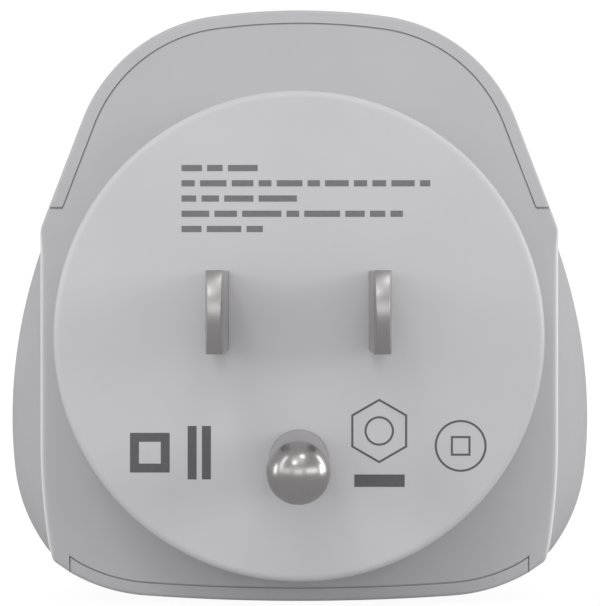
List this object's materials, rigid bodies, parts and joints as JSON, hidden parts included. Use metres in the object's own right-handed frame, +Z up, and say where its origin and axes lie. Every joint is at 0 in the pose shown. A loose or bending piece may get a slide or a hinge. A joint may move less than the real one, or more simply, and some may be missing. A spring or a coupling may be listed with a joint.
{
  "type": "travel plug adapter",
  "caption": "Grounded travel plug adapter: flat blades and a round earth pin on a disc at the back, a socket with a sliding safety shutter in front, in a pale grey case with side bulges.",
  "frame": {"origin": "on the wall plane (the face of the plug disc), midway between the two flat blades", "axes": "+Y out of the back along the plug pins, towards the wall; +Z up, away from the earth pin; +X to the right of a person facing the socket"},
  "size_m": [0.0516, 0.0625, 0.049],
  "materials": {
    "casing": "fine moulded satin",
    "nickel_plate": "satin nickel plate on brass",
    "contact_brass": "rolled sheet",
    "fuse_ceramic": "unglazed white",
    "inner_plastic": "moulded, dull",
    "shutter_plastic": "smooth, low friction",
    "spring_steel": "drawn wire",
    "screw_steel": "zinc plate"
  },
  "bodies": {
    "case": {"front_housing": "casing", "rear_cover": "casing", "plug_disc": "casing", "line_blade": "nickel_plate", "neutral_blade": "nickel_plate", "earth_pin": "nickel_plate", "blade_rivets": "contact_brass", "line_contact": "contact_brass", "neutral_contact": "contact_brass", "earth_contact": "contact_brass", "fuse_clip": "contact_brass", "fuse_tube": "fuse_ceramic", "fuse_caps": "nickel_plate", "contact_carrier": "inner_plastic", "shutter_spring": "spring_steel", "shutter_frame": "inner_plastic", "disc_screws": "screw_steel", "carrier_screws": "screw_steel", "frame_screws": "screw_steel"},
    "shutter": {"shutter": "shutter_plastic"}
  },
  "joints": [
    {"name": "shutter_slide", "type": "slide", "parent": "case", "child": "shutter", "axis": [0, 0, -1], "range_m": [0, 0.0055], "stiffness_N_per_m": 60, "springref_m": -0.004, "deforming": ["shutter_spring"]}
  ]
}
